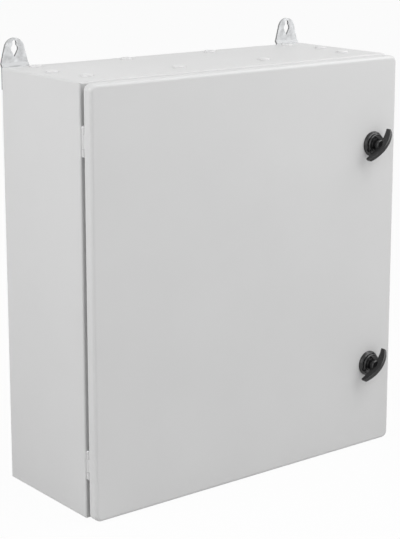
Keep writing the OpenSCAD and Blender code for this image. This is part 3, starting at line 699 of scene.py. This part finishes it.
def hex_nut(size, height, chamfer):
    """A hexagon nut along Z with chamfered corners and a countersunk bore, flanged if its size says so."""
    nut = round_bar(size.corner_r, 0, height, sides=6, turn=math.pi / 6)
    combine(nut, chamfered_blank((1 + NUT_SPARE) * size.corner_r, height, chamfer), "INTERSECT")
    if size.flange_r:
        flange = round_bar(size.flange_r, 0, size.flange_h)
        open_mesh(flange)
        pick("EDGE", lambda edge: all(vert.co.z > size.flange_h - TOUCH for vert in edge.verts))
        bpy.ops.mesh.bevel(offset=FLANGE_ROUNDING * size.flange_h, segments=3, affect="EDGES")
        close_mesh()
        combine(nut, flange, "UNION")
    bore = round_bar(size.bore_r, -CUT_PAST * height, (1 + CUT_PAST) * height)
    open_mesh(bore)
    for level in (COUNTERSINK_DEPTH, 1 - COUNTERSINK_DEPTH):
        bpy.ops.mesh.select_all(action="SELECT")
        bpy.ops.mesh.bisect(plane_co=(0, 0, level * height), plane_no=(0, 0, 1))
    pick("VERT", lambda vert: vert.co.z < 0 or vert.co.z > height)
    flare = (COUNTERSINK_FLARE, COUNTERSINK_FLARE, 1)
    bpy.ops.transform.resize(value=flare, center_override=(0, 0, height / 2))
    close_mesh()
    combine(nut, bore, "DIFFERENCE")
    return nut


def socket_screw(diameter, pitch, length, head):
    """A screw along Z with a low crowned head below zero and a hexagon socket in it."""
    screw = round_bar(head.radius, -head.height, HEAD_OVERLAP * pitch)
    open_mesh(screw)
    pick("VERT", lambda vert: vert.co.z < TOUCH - head.height)
    crown = (head.crown_r / head.radius, head.crown_r / head.radius, 1)
    bpy.ops.transform.resize(value=crown, center_override=(0, 0, -head.height))
    pick("EDGE", lambda edge: all(vert.co.z < TOUCH - head.height for vert in edge.verts))
    bpy.ops.mesh.bevel(offset=CROWN_ROUNDING * head.height, segments=3, affect="EDGES")
    close_mesh()
    bottom, top = (share * head.height for share in SOCKET_REACH)
    socket = round_bar(head.socket_r, bottom, top, sides=6)
    combine(screw, socket, "DIFFERENCE")
    combine(screw, threaded_rod(diameter, pitch, length), "UNION")
    return screw


def rounded_sheet(width, height, radius):
    """A flat sheet with round corners, as a start for a seal."""
    bpy.ops.object.select_all(action="DESELECT")
    bpy.ops.mesh.primitive_plane_add(size=1)
    sheet = bpy.context.object
    sheet.scale = (width, height, 1)
    settle(sheet)
    open_mesh(sheet)
    bpy.ops.mesh.select_mode(type="VERT")
    bpy.ops.mesh.select_all(action="SELECT")
    bpy.ops.mesh.bevel(offset=radius, segments=CORNER_SEGMENTS, affect="VERTICES")
    close_mesh()
    return sheet


def ring_from_sheet(sheet, steps):
    """Inset a sheet step by step, inwards and up or down, into a closed ring with that section."""
    open_mesh(sheet)
    bpy.ops.mesh.select_all(action="SELECT")
    for inward, rise in steps:
        bpy.ops.mesh.inset(thickness=inward, depth=rise, use_even_offset=True)
    bpy.ops.mesh.delete(type="FACE")
    bpy.ops.mesh.select_mode(type="EDGE")
    bpy.ops.mesh.select_all(action="DESELECT")
    bpy.ops.mesh.select_non_manifold()
    bpy.ops.mesh.bridge_edge_loops()
    bpy.ops.mesh.select_all(action="SELECT")
    bpy.ops.mesh.normals_make_consistent(inside=False)
    close_mesh()


def strip_steps(width, height):
    """Steps for a flat sponge strip whose upper edges are rounded."""
    edge = STRIP_ROUNDING * height
    return [(0, height - edge), (edge, edge), (width - 2 * edge, 0), (edge, -edge), (0, edge - height)]


def bead_steps(settings):
    """Steps for the crowned bead with the mark of the lip along its middle."""
    floor = 1 - settings.groove_depth / settings.bead_height
    half = [*BEAD_SECTION, (BEAD_GROOVE, floor)]
    section = half + [(1 - across, up) for across, up in reversed(half)]
    width = settings.bead_width / MM
    height = settings.bead_height / MM
    return [
        ((after[0] - before[0]) * width, (after[1] - before[1]) * height)
        for before, after in zip(section, section[1:])
    ]


def swell(piece, amount):
    """Let the skin of a foamed bead swell and sink a little along its straight runs."""
    open_mesh(piece)
    pick("EDGE", lambda edge: edge.calc_length() > SWELL_RUN)
    bpy.ops.mesh.subdivide(number_cuts=SWELL_CUTS)
    pick("VERT", lambda vert: vert.co.z > SWELL_FOOT)
    bpy.ops.object.vertex_group_add()
    bpy.ops.object.vertex_group_assign()
    close_mesh()
    texture = bpy.data.textures.new("bead_skin", "CLOUDS")
    texture.noise_scale = SWELL_SIZE
    modify(
        piece, "DISPLACE", texture=texture, texture_coords="LOCAL", strength=amount, mid_level=0.5,
        vertex_group=piece.vertex_groups[0].name,
    )
    bpy.ops.object.vertex_group_remove(all=True)


def stand(name, model, places, way, body, node, material):
    """Copy a model made in millimetres to its places, join the copies and let them stand for a CAD node."""
    copies = []
    for place in places:
        only(model)
        bpy.ops.object.duplicate()
        copy = bpy.context.object
        copy.rotation_euler = WAYS[way]
        copy.location = Vector(place) * MM
        copy.scale = (MM, MM, MM)
        settle(copy)
        copies.append(copy)
    bpy.data.objects.remove(model)
    only(copies[0])
    for copy in copies:
        copy.select_set(True)
    if len(copies) > 1:
        bpy.ops.object.join()
    piece = bpy.context.object
    piece.name = name
    bpy.ops.object.shade_smooth_by_angle(angle=SMOOTH_ANGLE)
    piece.data.materials.clear()
    piece.data.materials.append(material)
    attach(piece, body)
    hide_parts(node)


class CABINET_OT_paint(bpy.types.Operator):
    """Powder coats the body, the door and what is welded to them, and moulds the plugs"""

    bl_idname = "cabinet.paint"
    bl_label = "Powder coat"

    def execute(self, context):
        settings = context.scene.cabinet_paint
        dress(PAINTED_NODES, finish("powder_coat", paint_material, settings))
        dress(("top_plugs",), finish("plug_plastic", plug_material, settings))
        return {"FINISHED"}


class CABINET_OT_hardware(bpy.types.Operator):
    """Plates the lugs, washers, pins and lock parts and galvanises the plates"""

    bl_idname = "cabinet.hardware"
    bl_label = "Plated hardware"

    def execute(self, context):
        settings = context.scene.cabinet_hardware
        dress(PLATED_NODES, finish("zinc_plating", zinc_material, settings))
        dress(LUG_NODES, finish("lug_plating", lug_material, settings))
        dress(GALVANISED_NODES, finish("galvanised_spangle", galvanised_material, settings))
        return {"FINISHED"}


class CABINET_OT_locks(bpy.types.Operator):
    """Gives the wing locks their moulded plastic"""

    bl_idname = "cabinet.locks"
    bl_label = "Wing locks"

    def execute(self, context):
        dress(PLASTIC_NODES, finish("black_plastic", plastic_material, context.scene.cabinet_hardware))
        return {"FINISHED"}


class CABINET_OT_seals(bpy.types.Operator):
    """Makes the foamed bead of the door, the gland plate's sponge strip and the rings under the rosettes"""

    bl_idname = "cabinet.seals"
    bl_label = "Seals"

    def execute(self, context):
        settings = context.scene.cabinet_seals
        foam = finish("sealing_foam", foam_material, settings)
        low, high = span("door_seal")
        bead = rounded_sheet(high.x - low.x, high.z - low.z, BEAD_CORNER)
        ring_from_sheet(bead, bead_steps(settings))
        swell(bead, settings.skin_swell / MM)
        places = [(0, low.y, (low.z + high.z) / 2)]
        stand("door_seal_bead", bead, places, "back", "door", "door_seal", foam)
        low, high = span("gland_seal")
        strip = rounded_sheet(high.x - low.x, high.y - low.y, STRIP_CORNER)
        ring_from_sheet(strip, strip_steps(settings.gland_width / MM, high.z - low.z))
        for place in stud_places("gland_studs"):
            hole = round_bar(GLAND_HOLE_R, *GLAND_HOLE_REACH, sides=24, centre=place[:2])
            combine(strip, hole, "DIFFERENCE")
        stand("gland_seal_strip", strip, [(0, 0, low.z)], "up", "cabinet", "gland_seal", foam)
        low, high = span("lock_seals")
        outer = (high.x - low.x) / 2
        bpy.ops.object.select_all(action="DESELECT")
        bpy.ops.mesh.primitive_circle_add(vertices=64, radius=outer, fill_type="NGON")
        ring = context.object
        ring_from_sheet(ring, strip_steps(settings.rosette_width / MM, high.y - low.y))
        places = [((low.x + high.x) / 2, high.y, z) for z in between(low.z, high.z, outer, 2)]
        stand("rosette_seal_rings", ring, places, "front", "door", "lock_seals", foam)
        return {"FINISHED"}


# Each run of studs: its name, CAD node, body, way, diameter and the setting that holds its pitch
STUDS = (
    ("plate_stud_threads", "plate_studs", "cabinet", "front", STUD_D, "stud_pitch"),
    ("gland_stud_threads", "gland_studs", "cabinet", "up", GLAND_STUD_D, "gland_pitch"),
    ("body_earth_thread", "body_earth_stud", "cabinet", "up", STUD_D, "stud_pitch"),
    ("door_earth_thread", "door_earth_stud", "door", "back", STUD_D, "stud_pitch"),
)


class CABINET_OT_studs(bpy.types.Operator):
    """Cuts real threads on the weld studs"""

    bl_idname = "cabinet.studs"
    bl_label = "Threaded studs"

    def execute(self, context):
        settings = context.scene.cabinet_fasteners
        plating = fastener_plating(context)
        for name, node, body, way, diameter, pitch in STUDS:
            rod = threaded_rod(diameter, getattr(settings, pitch) / MM, length_along(node, way))
            stand(name, rod, stud_places(node), way, body, node, plating)
        return {"FINISHED"}


def seat_nuts(context, name, node, body, way, places, size):
    """Make a nut of one size and let its copies stand for a CAD node."""
    low, high = span(node)
    foot = {"up": low.z, "front": high.y, "back": low.y}[way]
    seats = [(x, y, foot) if way == "up" else (x, foot, z) for x, y, z in places]
    nut = hex_nut(size, length_along(node, way), context.scene.cabinet_fasteners.nut_chamfer)
    stand(name, nut, seats, way, body, node, fastener_plating(context))


class CABINET_OT_nuts(bpy.types.Operator):
    """Makes the chamfered nuts of the plates, lugs, hinges and locks and the flanged earth nuts"""

    bl_idname = "cabinet.nuts"
    bl_label = "Nuts"

    def execute(self, context):
        plates = stud_places("plate_studs")
        seat_nuts(context, "plate_hex_nuts", "plate_nuts", "cabinet", "front", plates, STUD_NUT)
        glands = stud_places("gland_studs")
        seat_nuts(context, "gland_hex_nuts", "gland_nuts", "cabinet", "up", glands, GLAND_NUT)
        low, high = span("lug_nuts")
        lugs = [(x, 0, (low.z + high.z) / 2) for x in between(low.x, high.x, STUD_NUT.corner_r, 2)]
        seat_nuts(context, "lug_hex_nuts", "lug_nuts", "cabinet", "front", lugs, STUD_NUT)
        low, high = span("hinge_screws")
        hinges = hinge_screw_places(low, high, context.scene.cabinet_fasteners.hinge_gap / MM, 0)
        seat_nuts(context, "hinge_hex_nuts", "hinge_nuts", "cabinet", "back", hinges, HINGE_NUT)
        low, high = span("lock_nuts")
        flat_r = LOCK_NUT.corner_r * math.cos(math.pi / 6)
        locks = [((low.x + high.x) / 2, 0, z) for z in between(low.z, high.z, flat_r, 2)]
        seat_nuts(context, "lock_hex_nuts", "lock_nuts", "door", "back", locks, LOCK_NUT)
        for node, body, way in (("body_earth", "cabinet", "up"), ("door_earth", "door", "back")):
            places = stud_places(node + "_stud")
            seat_nuts(context, node + "_flange_nut", node + "_nut", body, way, places, EARTH_NUT)
        return {"FINISHED"}


class CABINET_OT_screws(bpy.types.Operator):
    """Makes the socket-headed bolts of the lugs and the screws of the hinges and cams"""

    bl_idname = "cabinet.screws"
    bl_label = "Screws and bolts"

    def execute(self, context):
        settings = context.scene.cabinet_fasteners
        plating = fastener_plating(context)
        low, high = span("lug_bolts")
        y = high.y - LUG_HEAD.height
        bolt = socket_screw(STUD_D, settings.stud_pitch / MM, y - low.y, LUG_HEAD)
        places = [(x, y, (low.z + high.z) / 2) for x in between(low.x, high.x, LUG_HEAD.radius, 2)]
        stand("lug_socket_bolts", bolt, places, "front", "cabinet", "lug_bolts", plating)
        low, high = span("hinge_screws")
        y = low.y + HINGE_HEAD.height
        screw = socket_screw(HINGE_SCREW_D, settings.hinge_pitch / MM, high.y - y, HINGE_HEAD)
        places = hinge_screw_places(low, high, settings.hinge_gap / MM, y)
        stand("hinge_socket_screws", screw, places, "back", "cabinet", "hinge_screws", plating)
        for side in ("upper", "lower"):
            name = "cam_socket_screw_" + side
            node = "cam_screw_" + side
            low, high = span(node)
            y = high.y - CAM_HEAD_H
            head_r = (high.x - low.x) / 2
            head = ScrewHead(head_r, head_r - CAM_CROWN_STEP, CAM_HEAD_H, CAM_SOCKET_R)
            screw = socket_screw(CAM_SCREW_D, settings.gland_pitch / MM, y - low.y, head)
            places = [((low.x + high.x) / 2, y, (low.z + high.z) / 2)]
            stand(name, screw, places, "front", side + "_lock", node, plating)
        return {"FINISHED"}


def seen_by_viewers(tree, place):
    """One where the camera, gloss or glass looks, and nought for scattered light."""
    path = new_node(tree, "ShaderNodeLightPath", (place[0] - 500, place[1] + 200))
    seen = new_node(tree, "ShaderNodeMath", (place[0] - 250, place[1] + 200))
    seen.operation = "MAXIMUM"
    either = new_node(tree, "ShaderNodeMath", (place[0] - 100, place[1] + 200))
    either.operation = "MAXIMUM"
    tree.links.new(path.outputs["Is Camera Ray"], seen.inputs[0])
    tree.links.new(path.outputs["Is Glossy Ray"], seen.inputs[1])
    tree.links.new(seen.outputs["Value"], either.inputs[0])
    tree.links.new(path.outputs["Is Transmission Ray"], either.inputs[1])
    return either.outputs["Value"]


def white_world(ambient):
    """Even light from all round that looks white."""
    world = bpy.data.worlds.new("studio")
    world.use_nodes = True
    tree = world.node_tree
    tree.nodes.clear()
    light = new_node(tree, "ShaderNodeBackground", (0, 0), Strength=ambient)
    white = new_node(tree, "ShaderNodeBackground", (0, -150), Strength=1.0)
    for node in (light, white):
        node.inputs["Color"].default_value = (1, 1, 1, 1)
    mix = new_node(tree, "ShaderNodeMixShader", (250, 0))
    output = new_node(tree, "ShaderNodeOutputWorld", (450, 0))
    tree.links.new(seen_by_viewers(tree, (0, 100)), mix.inputs["Fac"])
    tree.links.new(light.outputs["Background"], mix.inputs[1])
    tree.links.new(white.outputs["Background"], mix.inputs[2])
    tree.links.new(mix.outputs["Shader"], output.inputs["Surface"])
    return world


def floor_material(colour):
    """Pale floor that looks nearly white and keeps a soft shadow."""
    material = bpy.data.materials.new("studio_floor")
    material.use_nodes = True
    tree = material.node_tree
    tree.nodes.clear()
    matt = new_node(tree, "ShaderNodeBsdfDiffuse", (0, 0), Color=(*colour, 1))
    white = new_node(tree, "ShaderNodeEmission", (0, -150), Strength=1.0)
    share = new_node(tree, "ShaderNodeMath", (150, 150))
    share.operation = "MULTIPLY"
    share.inputs[1].default_value = FLOOR_WHITENESS
    mix = new_node(tree, "ShaderNodeMixShader", (350, 0))
    output = new_node(tree, "ShaderNodeOutputMaterial", (550, 0))
    tree.links.new(seen_by_viewers(tree, (0, 100)), share.inputs[0])
    tree.links.new(share.outputs["Value"], mix.inputs["Fac"])
    tree.links.new(matt.outputs["BSDF"], mix.inputs[1])
    tree.links.new(white.outputs["Emission"], mix.inputs[2])
    tree.links.new(mix.outputs["Shader"], output.inputs["Surface"])
    return material


def area_lamp(name, place, aim, size, power):
    """A square soft box that points at a place."""
    bpy.ops.object.light_add(type="AREA", location=place)
    lamp = bpy.context.object
    lamp.name = name
    lamp.data.size = size
    lamp.data.energy = power
    lamp.rotation_euler = (Vector(aim) - Vector(place)).to_track_quat("-Z", "Y").to_euler()


class CABINET_OT_stage(bpy.types.Operator):
    """Sets up the floor, the soft light and the camera"""

    bl_idname = "cabinet.stage"
    bl_label = "Studio"

    def execute(self, context):
        settings = context.scene.cabinet_stage
        scene = context.scene
        scene.view_settings.view_transform = "Standard"
        scene.world = white_world(settings.ambient)
        bpy.ops.object.select_all(action="DESELECT")
        bpy.ops.mesh.primitive_circle_add(vertices=96, radius=FLOOR_RADIUS, fill_type="NGON")
        floor = context.object
        floor.name = "studio_floor"
        floor.data.materials.append(floor_material(settings.floor_colour))
        for name, place, aim, size, power in LAMPS:
            area_lamp(name, place, aim, size, getattr(settings, power))
        bpy.ops.object.camera_add(location=settings.camera_place)
        camera = context.object
        camera.name = "camera"
        camera.rotation_euler = (math.pi / 2 - settings.camera_pitch, 0, -settings.camera_azimuth)
        camera.data.lens = settings.camera_lens
        camera.data.sensor_width = SENSOR_WIDTH
        camera.data.shift_y = settings.camera_shift
        scene.camera = camera
        return {"FINISHED"}


OPERATORS = (
    CABINET_OT_paint, CABINET_OT_hardware, CABINET_OT_locks, CABINET_OT_seals,
    CABINET_OT_studs, CABINET_OT_nuts, CABINET_OT_screws, CABINET_OT_stage,
)
SETTINGS = (
    ("cabinet_paint", CabinetPaint),
    ("cabinet_hardware", CabinetHardware),
    ("cabinet_seals", CabinetSeals),
    ("cabinet_fasteners", CabinetFasteners),
    ("cabinet_stage", CabinetStage),
)


class CABINET_PT_panel(bpy.types.Panel):
    """Lists the steps that finish the cabinet"""

    bl_label = "Distribution cabinet"
    bl_idname = "CABINET_PT_panel"
    bl_space_type = "VIEW_3D"
    bl_region_type = "UI"
    bl_category = "Cabinet"

    def draw(self, context):
        for name, group in SETTINGS:
            box = self.layout.box()
            box.label(text=group.__doc__)
            for prop in group.__annotations__:
                box.prop(getattr(context.scene, name), prop)
        for operator in OPERATORS:
            self.layout.operator(operator.bl_idname)


def register():
    """Make the settings, the steps and the panel known to Blender."""
    for name, group in SETTINGS:
        bpy.utils.register_class(group)
        setattr(bpy.types.Scene, name, bpy.props.PointerProperty(type=group))
    for cls in (*OPERATORS, CABINET_PT_panel):
        bpy.utils.register_class(cls)


def unregister():
    """Take the settings, the steps and the panel away again."""
    for cls in (CABINET_PT_panel, *reversed(OPERATORS)):
        bpy.utils.unregister_class(cls)
    for name, group in reversed(SETTINGS):
        delattr(bpy.types.Scene, name)
        bpy.utils.unregister_class(group)


def main():
    """Run the steps in order."""
    register()
    bpy.ops.cabinet.paint()
    bpy.ops.cabinet.hardware()
    bpy.ops.cabinet.locks()
    bpy.ops.cabinet.seals()
    bpy.ops.cabinet.studs()
    bpy.ops.cabinet.nuts()
    bpy.ops.cabinet.screws()
    bpy.ops.cabinet.stage()


if __name__ == "__main__":
    main()
